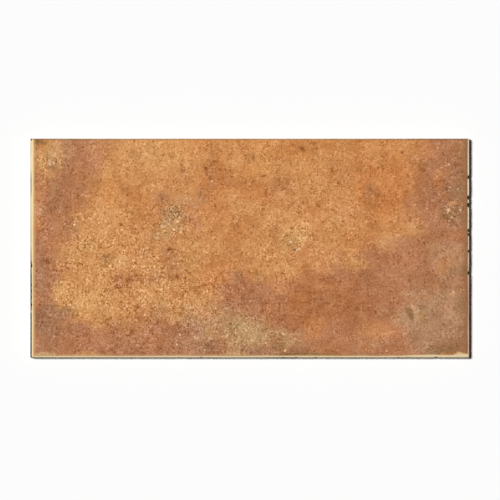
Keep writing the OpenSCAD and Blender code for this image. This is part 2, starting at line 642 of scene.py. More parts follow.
def key_outline(sizes, steps, inset):
    """Outline of a key, drawn in by inset: a rectangle whose corners a circle has turned round."""
    half_x, half_y = ((step - sizes.rib_width) / 2 for step in steps)
    turned = math.hypot(half_x, half_y) - sizes.key_corner - inset
    half_x, half_y = half_x - inset, half_y - inset
    low, high = math.acos(min(1, half_x / turned)), math.asin(min(1, half_y / turned))
    quarter = [(turned * math.cos(low + (high - low) * i / KEY_CORNER_STEPS),
                turned * math.sin(low + (high - low) * i / KEY_CORNER_STEPS))
               for i in range(KEY_CORNER_STEPS + 1)]
    outline = []
    for flip_x, flip_y in ((1, 1), (-1, 1), (-1, -1), (1, -1)):
        corner = [(x * flip_x, y * flip_y) for x, y in quarter]
        outline += corner if flip_x == flip_y else corner[::-1]
    return outline


KEY_LIP = 0.18 * MM  # how far the mouth and the floor of a key are softened


def key_cell(sizes):
    """One key with its share of the ribs round it, opening downwards."""
    steps = key_steps(sizes)
    slope = math.tan(sizes.key_draft)
    lip, depth = KEY_LIP, sizes.key_depth
    rings = ((-lip, 0), (lip * slope, lip), ((depth - lip) * slope, depth - lip),
             (depth * slope + lip, depth))
    mesh = bmesh.new()
    step_x, step_y = (step / 2 for step in steps)
    rim = [mesh.verts.new((x, y, 0)) for x, y in
           ((step_x, step_y), (-step_x, step_y), (-step_x, -step_y), (step_x, -step_y))]
    loops = [[mesh.verts.new((x, y, height)) for x, y in key_outline(sizes, steps, inset)]
             for inset, height in rings]
    quarter = KEY_CORNER_STEPS + 1
    for corner, post in enumerate(rim):
        arc = loops[0][corner * quarter:(corner + 1) * quarter]
        for a, b in zip(arc, arc[1:]):
            mesh.faces.new((post, b, a))
        after = loops[0][(corner + 1) * quarter % len(loops[0])]
        mesh.faces.new((post, rim[(corner + 1) % 4], after, arc[-1]))
    for outer, inner in zip(loops, loops[1:]):
        for i, vertex in enumerate(outer):
            after = (i + 1) % len(outer)
            mesh.faces.new((vertex, outer[after], inner[after], inner[i]))
    mesh.faces.new(loops[-1])
    bmesh.ops.recalc_face_normals(mesh, faces=mesh.faces)
    # outward is down here, as the key opens in the back
    if sum(face.normal.z * face.calc_area() for face in mesh.faces) > 0:
        bmesh.ops.reverse_faces(mesh, faces=mesh.faces)
    made = bpy.data.meshes.new("mortar_key")
    mesh.to_mesh(made)
    mesh.free()
    return made


def keys_tree():
    """The keyed field of the back: one key set out in rows, its ribs welded to the next one's."""
    tree, given = geometry_tree(
        "mortar_keys", Count_Along="Int", Count_Across="Int", Step_Along="Float",
        Step_Across="Float", Weld="Float", Key="Object", Material="Material")
    across, along = given["Count_Across"], given["Count_Along"]
    grid = put(tree, "GeometryNodeMeshGrid",
               {"Size X": (along - 1.0) * given["Step_Along"],
                "Size Y": (across - 1.0) * given["Step_Across"],
                "Vertices X": along, "Vertices Y": across})
    key = put(tree, "GeometryNodeObjectInfo", {"Object": given["Key"], "As Instance": True},
              out="Geometry")
    keys = put(tree, "GeometryNodeInstanceOnPoints", {"Points": grid, "Instance": key})
    real = put(tree, "GeometryNodeRealizeInstances", {"Geometry": keys})
    welded = put(tree, "GeometryNodeMergeByDistance", {"Geometry": real, "Distance": given["Weld"]})
    close_tree(welded, given["Material"])
    return tree


MAP_NAME = "OFBake"
MAP_GAP = 3 * MM  # free space round each island of the map
MAP_FACE, MAP_BACK = 0.7, -0.8  # a normal that rises above this is the face's, below this the back's


def stitched(shell, keys, sizes):
    """Blank and keys as one closed mesh: the plain border between them is filled in."""
    mesh = bmesh.new()
    mesh.from_mesh(shell)
    mesh.from_mesh(keys)
    rims = [edge for edge in mesh.edges if edge.is_boundary]
    bmesh.ops.triangle_fill(mesh, use_beauty=True, edges=rims)
    bmesh.ops.recalc_face_normals(mesh, faces=mesh.faces)
    if not all(edge.is_manifold for edge in mesh.edges):
        raise RuntimeError("The blank and its keys don't close into one body")
    spread_map(mesh, sizes)
    made = bpy.data.meshes.new("stitched_body")
    mesh.to_mesh(made)
    mesh.free()
    for part in (shell, keys):
        bpy.data.meshes.remove(part)
    return made


def spread_map(mesh, sizes):
    """Lays the face, the back and the four walls side by side on one square map, all at one scale."""
    layer = mesh.loops.layers.uv.new(MAP_NAME)
    tall = THICKNESS + 2 * MM  # a wall's strip, with room for what slopes
    square = 2 * WIDTH + 3 * tall + 6 * MAP_GAP
    # inside these, whatever lies this low belongs to the keys, their sloping walls too
    keyed_x = LENGTH / 2 - sizes.key_border + 1 * MM
    keyed_y = WIDTH / 2 - sizes.back_bevel * 3
    keyed_height = sizes.key_depth + 0.1 * MM
    back_row = WIDTH + MAP_GAP
    wall_rows = [2 * (WIDTH + MAP_GAP) + count * (tall + MAP_GAP) for count in range(3)]

    def island(face):
        """How a corner of that face goes onto the map."""
        normal, middle = face.normal, face.calc_center_median()
        if normal.z > MAP_FACE:
            return lambda p: (p.x + LENGTH / 2, p.y + WIDTH / 2)
        keyed = middle.z < keyed_height and abs(middle.x) < keyed_x and abs(middle.y) < keyed_y
        if normal.z < MAP_BACK or keyed:
            return lambda p: (LENGTH / 2 - p.x, p.y + WIDTH / 2 + back_row)
        if abs(normal.y) > abs(normal.x):
            row = wall_rows[0 if normal.y < 0 else 1]
            return lambda p: (p.x + LENGTH / 2, row + p.z)
        start = 0 if normal.x < 0 else WIDTH + MAP_GAP
        return lambda p: (start + p.y + WIDTH / 2, wall_rows[2] + p.z)

    for face in mesh.faces:
        spot = island(face)
        for loop in face.loops:
            u, v = spot(loop.vert.co)
            loop[layer].uv = ((u + MAP_GAP) / square, (v + MAP_GAP) / square)


# ------------------------------------------------------------------ wear as relief

def edge_distance(where):
    return lowest(*(inset_from(side, where) for side in SIDES))


def relief_tree():
    """Draws the closed body in wherever pressing, firing and wear left it short of the die's shape."""
    tree, given = geometry_tree("fired_and_worn", Thickness="Float", Heave="Float", Dapple="Float",
                                Nibble="Float", Grit="Float", Material="Material")
    where = put(tree, "GeometryNodeInputPosition")
    normal = put(tree, "GeometryNodeInputNormal")
    plan, height = flattened(where), where.part("Z")
    top = given["Thickness"]

    # the face heaves, dapples and has its pits
    on_top = smooth(height, top - 1.7 * MM, top - 0.6 * MM)
    face = (0.72 - cloud(plan, 75 * MM, 1.0, seed=3.0)) * given["Heave"]
    face = face + (0.70 - cloud(plan, 17 * MM, 2.0, seed=4.0)) * (given["Heave"] * 0.5)
    face = face + (0.70 - cloud(plan, 5 * MM, 2.0, seed=5.0)) * given["Dapple"]
    face = face + (0.70 - cloud(plan, 2 * MM, 1.0, seed=6.0)) * (given["Dapple"] * 0.6)
    face = highest(face, 0.0)
    ragged = frayed(plan)
    for mark in PITS:
        face = face + pit_shape(ragged, mark) * mark.amount

    # the arris is nibbled and chipped
    upper = smooth(height, top - 3.4 * MM, top - 1.4 * MM)
    near_edge = smooth(edge_distance(plan), 3.0 * MM, 0.5 * MM) * upper
    scallops = smooth(cloud(where, 6 * MM, 3.0, 0.6, seed=7.0), 0.58, 0.74)
    nibbles = smooth(cloud(where, 1.9 * MM, 2.0, 0.6, seed=8.0), 0.50, 0.72)
    chips = near_edge * (scallops + nibbles * 0.45) * given["Nibble"]
    chips = highest(chips, chips_at(where) * MM)

    # the walls and the back are gritty and unevenly pressed
    off_top = 1.0 - on_top
    grit = smooth(cloud(where, 2.6 * MM, 3.0, 0.6, seed=9.0), 0.45, 0.85) * given["Grit"]
    pressed = smooth(cloud(where, 14 * MM, 2.0, seed=10.0), 0.45, 0.8) * given["Grit"]

    depth = on_top * face + chips + off_top * (grit + pressed)
    offset = vector_calc("SCALE", normal, scale=depth * -1.0)
    close_tree(put(tree, "GeometryNodeSetPosition", {"Geometry": given["Geometry"], "Offset": offset}),
               given["Material"])
    return tree


# ------------------------------------------------------------------ the glaze

class Patch(NamedTuple):
    """A cloud of another tone in the glaze."""
    along: float
    up: float
    reach_along: float
    reach_up: float
    tone: str
    strength: float
    core: float        # the part of its reach that has the full strength
    turn: float        # in degrees, against the clock


def patches(usual_core, rows):
    """Patches from rows of (along, up, reach along, reach up, strength).

    The reaches are in millimetres, the rest is in percent. A row may go on with a core that isn't
    the usual one, and then with a turn in degrees. A tone's name holds for the rows after it.
    """
    tone, found = None, []
    for row in rows:
        if isinstance(row, str):
            tone = row
            continue
        along, up, reach_along, reach_up, strength, *more = row
        core, turn = *more, *(usual_core, 0)[len(more):]
        found.append(Patch(along * PERCENT, up * PERCENT, reach_along * MM, reach_up * MM, tone,
                           strength * PERCENT, core * PERCENT, turn))
    return found


GLAZE_PATCHES = patches(30, [  # the broad clouds
    # the warm field, off the dull margins
    "amber", (20, 50, 48, 64, 100, 65), (30, 68, 62, 72, 100, 65), (52, 72, 84, 56, 100, 65),
    (70, 82, 62, 56, 100, 65, -10), (72, 100, 56, 44, 100, 65), (33, 34, 44, 30, 100, 55, 12),
    (62, 50, 50, 20, 100, 55), (54.5, 41, 32, 15, 100, 55), (83, 62, 24, 14, 90, 45),
    (12, 26, 26, 20, 100, 55, -20),
    # the golden heart of the left half
    "golden", (15, 44, 30, 46, 65), (32, 93, 34, 18, 80, 40), (44, 96, 28, 14, 90, 40),
    (50, 86, 22, 12, 70), (73, 94, 18, 12, 50), (13, 24, 24, 16, 100, 40, -20),
    (30, 34, 34, 20, 35), (36, 52, 12, 16, 70, 20), (60, 58, 12, 14, 90, 20, -20),
    "salmon", (72, 70, 14, 16, 80, 20, 10), (46, 95, 30, 10, 50, 20), (65, 46, 22, 14, 50, 20, -20),
    # the orange of the middle and the upper right
    "orange", (25, 68, 16, 20, 60, 20), (42, 78, 16, 34, 90, 30, 5), (51, 75, 22, 12, 80, 30, -8),
    (66, 66, 16, 12, 60), (35, 66, 12, 14, 50), (74, 85, 16, 14, 50), (42, 36, 18, 10, 60),
    (20, 46, 16, 12, 35), (46, 60, 26, 14, 60, 20), (44, 42, 20, 14, 60, 20),
    (62, 96, 20, 9, 100, 40), (62, 86, 10, 8, 80, 20), (80, 76, 26, 34, 100, 40, 12),
    (83, 86, 16, 22, 90, 20), (74, 54, 16, 12, 70, 20),
    # the red-brown band down the left edge
    "clay", (11.2, 94, 11, 24, 100, 50, -6), (8.5, 74, 15, 22, 85, 40, -25),
    "salmon", (2, 72, 10, 18, 55, 20), "umber", (1.5, 36, 11, 30, 45),
    "golden", (4.2, 92, 15, 17, 95, 40, -20), "olive", (5, 93, 10, 11, 60, 20, -20),
    "golden", (19.5, 88, 16, 40, 55),
    # the dull lower edge
    "umber", (4.5, 17, 20, 15, 85, 50, -20), (4, 5, 14, 8, 50), (35, 15, 12, 8, 40),
    "clay", (26, 2, 70, 17, 90, 50), "golden", (13, 0, 50, 4, 60, 40),
    "drab", (38, 7, 24, 12, 50, 20), "olive", (40, 20, 34, 12, 60, 20, -8),
    (49, 12, 24, 15, 100, 30, -15), (58, 10, 22, 8, 60, 20, -8), "umber", (54, 2, 24, 8, 90, 40),
    (72, 3, 22, 8, 50),
    # the rust-red cloud in the lower right
    "clay", (49, 30, 22, 12, 95, 40, -6), "rust", (65, 28, 30, 22, 90, 40, 5), (60, 20, 16, 13, 70),
    (73, 24, 26, 20, 70, 30, 10), "clay", (84, 44, 22, 16, 80, 30, 30), "rust", (68, 3, 22, 11, 70),
    "salmon", (79, 12, 18, 11, 65, 20, 5),
    # the drab right edge
    "drab", (95.5, 43, 18, 17, 95, 40), (92.5, 18, 30, 34, 95, 50),
    "umber", (98.5, 28, 8, 26, 40, 20), (97.5, 74, 16, 34, 75, 40), "clay", (89, 70, 10, 20, 70),
    "umber", (95.5, 4, 24, 10, 80, 40), "golden", (95.5, 0, 20, 5, 70),
    # smoke and bare places
    "olive", (33.5, 66, 11, 11, 70, 20, 30), (30.5, 58, 10, 8, 60, 20, 20),
    "clay", (30, 73, 9, 8, 70, 20), (37, 63, 10, 9, 50, 20), (21, 36, 13, 8, 80, 20),
    (31.5, 49, 7, 10, 65, 20, -20), "umber", (85, 20, 6, 9, 80, 20),
    # brighter and duller spells between them
    "tawny", (55, 96, 95, 12, 45, 50), (50, 85, 18, 12, 55), (19, 76, 12, 16, 50),
    (73, 74, 12, 12, 60), "orange", (88, 93, 13, 17, 60), "rust", (88.5, 76, 9, 15, 50),
    "umber", (97, 68, 13, 14, 40), "golden", (34.5, 48, 14, 15, 55),
    "salmon", (95.5, 45, 14, 10, 30), "amber", (51.5, 37, 13, 8, 50), "salmon", (62, 36, 14, 8, 40),
    "golden", (58, 45, 12, 10, 40), "rust", (73, 36, 13, 9, 50), (81, 45, 12, 10, 45),
    "orange", (65, 15, 14, 10, 60), "umber", (61, 4, 16, 9, 50),
])


MOTTLES = patches(10, [  # smaller clouds
    # down the left side
    "moss", (1.2, 99, 7, 6, 60), "umber", (5.2, 86.5, 6, 8, 55), "rust", (1.2, 83, 7, 7, 35),
    "golden", (3, 79, 8, 7, 45), "olive", (8.5, 93, 7, 20, 35), "bister", (10.8, 97.5, 8, 10, 40),
    "salmon", (14.6, 94, 12, 24, 35), "clay", (13, 98.5, 8, 7, 60), "smoke", (5.5, 72, 8, 17, 30),
    "salmon", (5, 50, 8, 9, 40), (1.8, 61, 8, 10, 70), "blush", (2, 69, 7, 9, 25),
    "sand", (2, 90.5, 6, 9, 28), "clay", (8.5, 59, 12, 17, 80), (12, 70, 9, 12, 30),
    "salmon", (10, 72.5, 6, 7, 45), (11.2, 84, 8, 12, 38), "clay", (13.5, 79, 9, 9, 40),
    "sand", (15.7, 64, 8, 14, 10), "rust", (18, 96, 6, 9, 30), "orange", (20.5, 88, 8, 17, 35),
    "rust", (21.5, 77, 8, 8, 35), "golden", (23.5, 66.2, 7, 7, 50), "bister", (24.1, 93, 5, 6, 35),
    "sand", (6.6, 31.8, 9, 13, 24), "smoke", (9, 20.8, 8, 8, 50), "salmon", (8.3, 17.2, 8, 7, 40),
    "smoke", (4.8, 17, 7, 7, 50), "salmon", (1.2, 26.5, 6, 8, 40), (7.4, 42.5, 9, 9, 50),
    "sand", (8, 45, 12, 12, 16), "golden", (14.5, 35, 8, 10, 45), "rust", (16.5, 19, 12, 10, 35),
    "clay", (18.5, 13, 10, 7, 35),
    # the left of the middle
    "salmon", (31, 81, 18, 14, 30), "rust", (35.2, 85, 7, 5, 35), "orange", (38.8, 97, 18, 12, 50),
    "umber", (41.2, 83, 5, 11, 35), "rust", (46, 81.5, 10, 8, 30), "umber", (39, 73.5, 6, 9, 50),
    "clay", (37, 68.5, 7, 7, 55), "biscuit", (35, 72.2, 10, 6, 15), "umber", (30.3, 66.8, 5, 6, 50),
    "bister", (33.5, 66.2, 6, 6, 45), "olive", (33.6, 59.6, 6, 6, 45),
    "honey", (31.1, 62.2, 6, 6, 55), "golden", (35.8, 49, 8, 18, 55), (29.9, 58.2, 6, 6, 45),
    "honey", (28.1, 55.5, 7, 6, 50), "clay", (37.2, 56, 8, 8, 15), "rust", (32, 49.3, 6, 6, 45),
    "clay", (32.5, 41.5, 10, 14, 30), (28, 36, 9, 9, 35), "sand", (20.5, 44.2, 8, 6, 18),
    "orange", (21.6, 36.2, 10, 7, 50), "umber", (19, 30, 6, 5, 15),
    "golden", (21.4, 31.8, 5, 5, 60), "sand", (26, 26.2, 9, 9, 20), "drab", (29.1, 21.5, 10, 9, 40),
    "sand", (31.1, 25.2, 6, 6, 35), (39, 28, 13, 7, 18), "salmon", (40, 20.5, 17, 6, 50),
    "olive", (40.8, 12.5, 11, 8, 60), "moss", (46.2, 14.2, 6, 6, 40),
    "umber", (47.5, 38.2, 7, 6, 40), "smoke", (40.4, 4.5, 8, 9, 45), "clay", (45, 30.5, 7, 7, 40),
    "salmon", (28, 8, 16, 9, 25), "honey", (46.8, 1.5, 12, 7, 75),
    # the right of the middle
    "umber", (50.5, 91, 6, 6, 30), "rust", (53, 82.5, 7, 6, 35), (57, 78.5, 14, 10, 45),
    "orange", (58.2, 93.5, 11, 11, 50), "smoke", (62.5, 97, 10, 9, 20),
    "golden", (62, 86.5, 11, 9, 45), "orange", (68.5, 85, 9, 13, 40), (75, 97.2, 14, 11, 75),
    (81.2, 98.5, 9, 8, 50), "rust", (74.5, 86, 8, 8, 20), "smoke", (77.5, 76.5, 8, 10, 35),
    "golden", (79.5, 90, 9, 9, 40), "tawny", (56.7, 73.3, 7, 6, 80),
    "pearl", (56.6, 73.5, 6, 6, 22), "rust", (56, 57.2, 6, 9, 45), "sand", (59.8, 56.2, 7, 8, 45),
    (58, 51.1, 7, 7, 30), (61.8, 54.5, 6, 7, 45), (68.2, 63, 13, 10, 12),
    "drab", (72, 73.5, 11, 9, 25), "golden", (81.2, 52, 13, 8, 45), (74.5, 42.5, 14, 7, 80),
    "rust", (70.5, 47, 7, 7, 45), "umber", (52.5, 36.5, 7, 6, 35), "salmon", (56.6, 32, 9, 8, 65),
    "orange", (61, 27, 10, 10, 45), "salmon", (65.5, 33.5, 9, 6, 40),
    "orange", (66.5, 39, 15, 6, 45), "bister", (62.8, 40.5, 5, 5, 35),
    "umber", (67.8, 25.8, 10, 7, 40), "rust", (68.4, 24.7, 8, 8, 75), "orange", (54, 24, 9, 9, 30),
    "salmon", (54.6, 17.2, 6, 6, 45), (49.6, 35.2, 7, 7, 45), "olive", (52.5, 18.5, 8, 6, 40),
    "clay", (56, 3, 14, 6, 50), "moss", (57.3, 6, 5, 6, 40), "sand", (36.8, 43.2, 6, 7, 22),
    "umber", (38.6, 13.7, 6, 6, 35), "sand", (13, 51.1, 7, 7, 22), "salmon", (29.1, 66, 4, 6, 55),
    "honey", (17.1, 45.2, 4, 4, 30),
    # down the right side
    "clay", (86.2, 68, 7, 18, 55), "golden", (88, 58, 11, 9, 45), "smoke", (90.5, 88, 10, 8, 45),
    "orange", (93.2, 81.5, 8, 13, 45), "smoke", (96.8, 71.2, 9, 7, 55), (96.4, 75, 9, 15, 45),
    "moss", (95, 65.5, 7, 6, 55), (98, 95, 13, 12, 35), "olive", (91.5, 51, 8, 6, 35),
    "rust", (92, 33.5, 11, 11, 50), (89.8, 29.8, 8, 8, 35), "orange", (93.6, 42, 9, 9, 45),
    "moss", (99, 39.5, 6, 8, 70), "honey", (83.8, 18, 9, 8, 30), "sand", (86, 29.5, 7, 5, 12),
    "moss", (89.5, 22, 6, 6, 30), "umber", (92.5, 17.5, 7, 7, 25), (98.6, 12, 8, 17, 85),
    "moss", (98.6, 25, 5, 9, 40), "honey", (88.9, 20, 6, 6, 45), "orange", (86.5, 90, 7, 8, 70),
    "rust", (86.6, 89.8, 6, 7, 55), "salmon", (76.5, 5, 10, 7, 40), "umber", (88.2, 10, 16, 10, 38),
    "rust", (85, 80, 8, 8, 30), (85.6, 44.3, 8, 8, 40), "golden", (74.9, 53.9, 7, 7, 45),
    "salmon", (94.1, 73.5, 5, 6, 35), "golden", (76, 12.5, 10, 7, 35), "moss", (95.8, 4, 9, 6, 40),
])


STAINS = patches(20, [  # small marks on the glaze
    "bister", (40.2, 86.6, 2.2, 2, 85, 40), (41.9, 89.9, 1, 2, 75), (45.6, 85.1, 1.3, 1.3, 65),
    (45.1, 92.6, 1.3, 1.2, 65), (40.9, 82.4, 1, 2.2, 70), (62, 94.9, 1.8, 4, 70, 20, 25),
    (64.4, 98, 4, 1.5, 60), (68.7, 86, 1, 2.2, 60), (59.8, 97, 1.5, 1.5, 50),
    (84.7, 93.6, 1.3, 1.5, 75), (88.4, 85.1, 1.2, 1.2, 70), (85.8, 75.6, 2.2, 1.2, 60, 20, -15),
    # the swirl right of the middle
    "golden", (59.7, 54.5, 9, 8.5, 80, 40), "olive", (59.7, 54, 7, 7, 35, 30),
    "bister", (58.1, 56.1, 1.5, 2.8, 60, 20, -15), (59.4, 59, 3, 1.2, 60, 20, -20),
    (60.7, 51.5, 1.4, 3, 60, 20, 10), "moss", (60.1, 49.2, 1.7, 1.4, 90, 40),
    "bone", (60.9, 49.4, 2.8, 1, 65, 20, 35), "salmon", (62.9, 47, 5, 3.5, 70),
    # the smoked place left of the middle and its pits
    "olive", (31.8, 64.5, 9, 7, 45, 20, 40), "moss", (32.2, 66, 3, 2, 45, 20, 30),
    (30.9, 64, 2, 1.6, 45), "bister", (37.9, 60.1, 2.6, 2.2, 50), (29.8, 73.5, 2.2, 3.2, 40),
    (31.9, 49.1, 2.8, 2.4, 85, 40),
    # the pitted place low on the left
    "moss", (18.3, 45.5, 6.5, 5, 22), (17.2, 46.2, 1.2, 1.6, 65), (19.3, 45.6, 1.3, 1.1, 65),
    (10.7, 58.5, 4, 3.5, 20), (17, 42.7, 2.4, 3, 40), "rust", (19.6, 36.1, 3, 2.4, 90, 40),
    "bister", (22.4, 35.6, 3.4, 2.6, 80, 40), (19.8, 32.7, 2.6, 1.7, 75, 40),
    (23, 31.7, 1.5, 1.2, 65), (24.6, 23.2, 2.2, 1.8, 70, 20, -30), (20.8, 25.8, 1.6, 1.4, 65),
    # the edges
    "moss", (7.3, 22.6, 4.5, 3.6, 55), (2.4, 98.3, 5.5, 1.8, 65, 30, -10), (4, 90, 1.5, 1.5, 60),
    (5.2, 86.8, 1.6, 1.2, 50), (97.7, 76.5, 5, 12, 30), "salmon", (96.5, 70.7, 7, 1.6, 60),
    "moss", (98.3, 23.5, 3.5, 7, 40), (95.7, 66, 2.2, 1.5, 80), "sand", (96.2, 29.5, 3.2, 2.6, 35),
    "moss", (86.4, 20.3, 2.8, 6.2, 80, 50, 22), "blush", (87.3, 22.8, 1.5, 5, 50, 20, 35),
    "moss", (92, 3.5, 9, 4, 50, 30), (55.5, 5.3, 3.4, 3.8, 55), (57.3, 2.5, 2.4, 2, 50),
    (62.5, 1.65, 26, 1.4, 80, 60), "sand", (97.8, 1.4, 6, 2.6, 75, 40, 8),
    "moss", (47.2, 10, 6, 1, 40, 20, 30), "honey", (3.5, 1.9, 10, 2, 70, 40),
    "sand", (98.5, 31.2, 4.5, 0.6, 50), (94.9, 87.9, 3.2, 1, 30, 20, 30),
])

SCRATCHES = patches(20, [  # short strokes and dots, drawn over the grain
    "bone", (57.7, 10.9, 2.8, 0.9, 45, 20, -25), "moss", (58.4, 12, 2.4, 0.8, 60, 20, -25),
    "bister", (34.2, 20, 2, 2.6, 80), (37.6, 18.8, 1.8, 2.2, 65), (63.5, 30, 2.6, 1.2, 95, 20, -30),
    (64.8, 29.7, 2.4, 1.2, 95, 20, 25), (66.1, 30.3, 2.2, 1.2, 85, 20, -20),
    (67.6, 25, 3.4, 1.3, 95, 20, -10), (69.3, 23.8, 2.6, 1.2, 80, 20, 15),
    "moss", (57, 1.65, 2.2, 1, 95), "bister", (58.5, 1.5, 2.6, 0.9, 95),
    "moss", (60.1, 1.6, 2.2, 1, 95), "bister", (70.4, 28.7, 2, 1.1, 80, 20, 30),
    (57.5, 38.6, 3.6, 1.2, 85, 20, -6), (51.5, 39.6, 1, 1.8, 80), (53.1, 82.9, 3, 1.2, 95, 20, 8),
    (50.8, 91.5, 1.2, 3, 85, 20, -10), (53.6, 75.2, 1.2, 3.4, 85), "rust", (53.2, 73.5, 2, 1, 60),
    "bister", (65.6, 69.4, 3.4, 1.2, 90, 20, -45), (68.8, 85.7, 1.2, 3, 85, 20, 20),
    (50.4, 56.9, 1, 1, 80), (71.2, 62.2, 1.5, 1.2, 80, 20, -30),
    (61.1, 66.1, 1.4, 1.1, 80, 20, -30), (38.7, 74.5, 1.2, 5.5, 75, 20, -8),
    (30.3, 92.5, 1.6, 1.2, 80, 20, 30), (34.8, 85.7, 3, 1, 80, 20, 10), (28, 98.8, 1.2, 1.2, 85),
    (26.5, 82.7, 1.2, 1, 80), (20.7, 60.8, 1.5, 1.5, 100, 40), (84.6, 93.6, 1.6, 2, 95, 20, 20),
    (45.5, 25.8, 12, 0.7, 45, 20, 2), (46.2, 39.1, 9, 0.7, 45), (43.4, 38.6, 3, 1.1, 45, 20, 25),
])


def patch_group():
    """Lays one soft-edged cloud of another tone over a ground."""
    group = bpy.data.node_groups.new("glaze_patch", "ShaderNodeTree")
    group.interface.new_socket("Tone", in_out="OUTPUT", socket_type="NodeSocketColor")
    given = inputs_of(group, Where="Vector", Ground="Color", Patch="Color", Middle="Vector",
                      Reach="Vector", Turn="Float", Strength="Float", Core="Float")
    off = vector_calc("SUBTRACT", given["Where"], given["Middle"])
    turned = put(group, "ShaderNodeVectorRotate", {"Vector": off, "Angle": given["Turn"]},
                 rotation_type="Z_AXIS")
    away = vector_calc("LENGTH", vector_calc("DIVIDE", turned, given["Reach"]), out="Value")
    cover = smooth(away, 1.0, given["Core"]) * given["Strength"]
    leave = group.nodes.new("NodeGroupOutput")
    feed(group, leave.inputs["Tone"], laid_over(given["Ground"], given["Patch"], cover))
    return group


def patched(ground, where, listed, group, look):
    """A ground with the patches laid over it, one after the other."""
    tree = where.tree
    for patch in listed:
        node = tree.nodes.new("ShaderNodeGroup")
        node.node_tree = group
        given = {"Where": where, "Ground": ground, "Patch": getattr(look, patch.tone),
                 "Middle": on_face(patch.along, patch.up),
                 "Reach": (patch.reach_along, patch.reach_up, 1.0),
                 "Turn": -math.radians(patch.turn), "Strength": patch.strength,
                 "Core": patch.core}
        for name, value in given.items():
            feed(tree, node.inputs[name], value)
        ground = Wire(tree, node.outputs["Tone"])
    return ground


def broad_tones(plan, group, look):
    """The broad tones of the glaze, whose clouds drift so far that their edges fray."""
    adrift = vector_calc("ADD", drift(plan, 38 * MM, 2.0, 0.5, 21.0, 18 * MM),
                         drift(plan, 9 * MM, 3.0, 0.6, 22.0, 14 * MM))
    adrift = flattened(vector_calc("ADD", plan, adrift))
    return patched(look.clay, adrift, GLAZE_PATCHES, group, look)


FLECKS = marks(PERCENT, [  # where the glaze has crawled off in white grains
    (4.8, 90.7, 9, 65), (33.4, 63.3, 9, 100), (10, 60.8, 5, 40), (95.7, 66.7, 9, 90),
    (94, 86, 12, 15), (40, 8, 12, 50), (48, 11, 16, 100), (58, 10, 9, 70), (60, 54, 8, 50),
    (26, 20, 14, 60), (8, 24, 9, 40), (30, 40, 26, 30),
])

GRAINY = marks(PERCENT, [  # where the sandy grain is stronger than elsewhere, or weaker
    (32.5, 64, 14, 45), (59.7, 54, 12, 40), (5, 90, 13, 35), (96, 72, 18, 30), (17, 33, 95, 40),
    (46, 16, 60, 30), (28, 27, 55, 12), (66, 58, 60, 15), (10, 2, 55, -25), (3, 45, 30, -20),
    (7, 30, 16, 15), (20, 72, 28, -20), (80, 20, 95, -13),
])

BRIGHT_SPOTS = marks(PERCENT, [  # single white grains
    (58, 3.4, 1.2, 75), (81.1, 3.3, 1, 55), (57.6, 11.2, 1, 50), (53.6, 7, 0.9, 80),
    (49.7, 13.8, 0.9, 80), (26.05, 19.7, 1, 90), (26.3, 31.2, 0.8, 70), (23.4, 44.5, 0.9, 90),
    (34, 64.1, 0.9, 80), (33.55, 62.3, 1, 90), (32.7, 58.6, 1.2, 100), (34, 69.1, 0.8, 70),
    (29.1, 56.8, 0.8, 70), (30.5, 58, 0.8, 70), (41.4, 80.5, 0.9, 70), (10.05, 60.8, 1.1, 100),
    (9.1, 24.3, 1.2, 80), (9.8, 23.2, 0.9, 70), (5.5, 9.9, 0.9, 60), (5.3, 88.8, 1, 90),
    (5.5, 92, 0.8, 80), (95.2, 67.4, 1.5, 75), (97.9, 67.4, 1.1, 60), (95.3, 88.1, 0.9, 50),
    (92.7, 95.8, 0.8, 60), (97.3, 76.8, 0.9, 50), (95.5, 77.8, 0.8, 50), (34.1, 10.7, 1.1, 80),
    (33.4, 6.3, 1, 80), (37.5, 9.6, 1.1, 60), (36.9, 11.3, 0.8, 50), (28.2, 41.7, 0.9, 90),
    (33.6, 43.2, 0.8, 80), (26.8, 39.2, 0.8, 50), (25.8, 30.6, 0.9, 60), (34.5, 31.1, 0.8, 80),
    (34.1, 24.7, 0.9, 50), (33.4, 23.5, 0.8, 50), (42.2, 22.7, 0.9, 70), (27, 45.1, 0.9, 80),
    (90.3, 68.1, 0.9, 60), (87.5, 69.7, 0.8, 60),
])


DARK_GRAIN = (0.52, 0.34, 0.12)  # what a dark grain keeps of the tone it lies in
LIGHT_GRAIN = (1.36, 1.58, 2.05)  # and how much a light one adds to it


def speckled(tone, noise, strength):
    """Light and dark grains over a tone, by how far a noise strays from its middle."""
    tone = laid_over(tone, LIGHT_GRAIN, ramp(noise, 0.50, 0.77) * strength, "MULTIPLY")
    return laid_over(tone, DARK_GRAIN, ramp(noise, 0.50, 0.25) * strength, "MULTIPLY")


def strokes(where, size, seed):
    """Short crooked strokes, here and there: pieces of the lines along which a noise is even."""
    line = smooth(calc("ABSOLUTE", cloud(where, size, 1.0, seed=seed) - 0.5), 0.045, 0.0)
    return line * smooth(cloud(where, size * 1.3, 1.0, seed=seed + 0.5), 0.50, 0.62)


def amounts_at(where, listed):
    """What each of the marks amounts to at a place in plan."""
    for mark in listed:
        yield near(where, on_face(mark.along, mark.up), mark.radius, PLACE_CORE) * mark.amount


